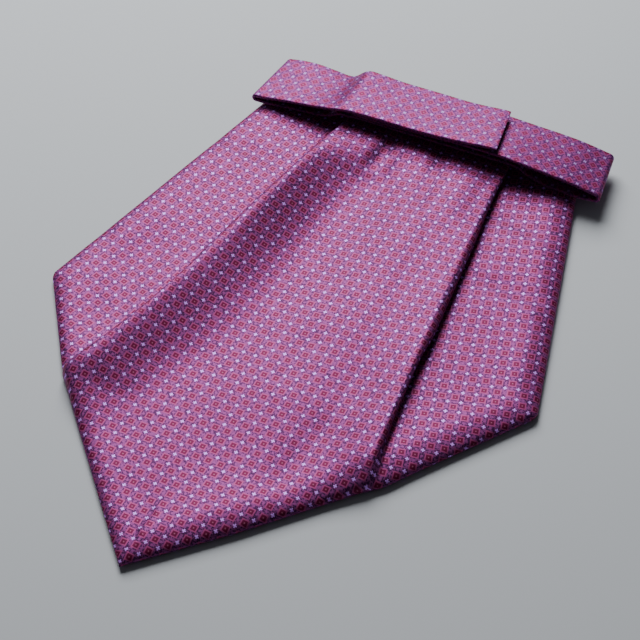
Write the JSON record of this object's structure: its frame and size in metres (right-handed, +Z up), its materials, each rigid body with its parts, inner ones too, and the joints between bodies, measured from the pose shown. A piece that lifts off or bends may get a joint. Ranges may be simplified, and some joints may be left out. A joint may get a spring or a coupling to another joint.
{
  "type": "silk cravat",
  "caption": "Patterned silk cravat laid flat: pointed blade with two folded pleats, gathered under a narrow bias neckband whose ends lap across the head.",
  "frame": {"origin": "middle of the object's box in plan, on the surface that the cravat lies on", "axes": "+Z up from the surface, -Y towards the blade's point, +Y towards the neckband, X across the blade"},
  "size_m": [0.1528, 0.2024, 0.0146],
  "materials": {
    "blade_silk": "silk jacquard, satin sheen, small woven star and square figure",
    "blade_back_silk": "same silk seen from the back, plain turnings",
    "band_silk": "same silk cut on the bias, satin sheen"
  },
  "bodies": {
    "root": {"blade_front": "blade_silk", "blade_hidden_layers": "blade_back_silk", "neckband_back": "band_silk", "neckband_right_wrap": "band_silk", "neckband_left_wrap": "band_silk"}
  },
  "joints": []
}
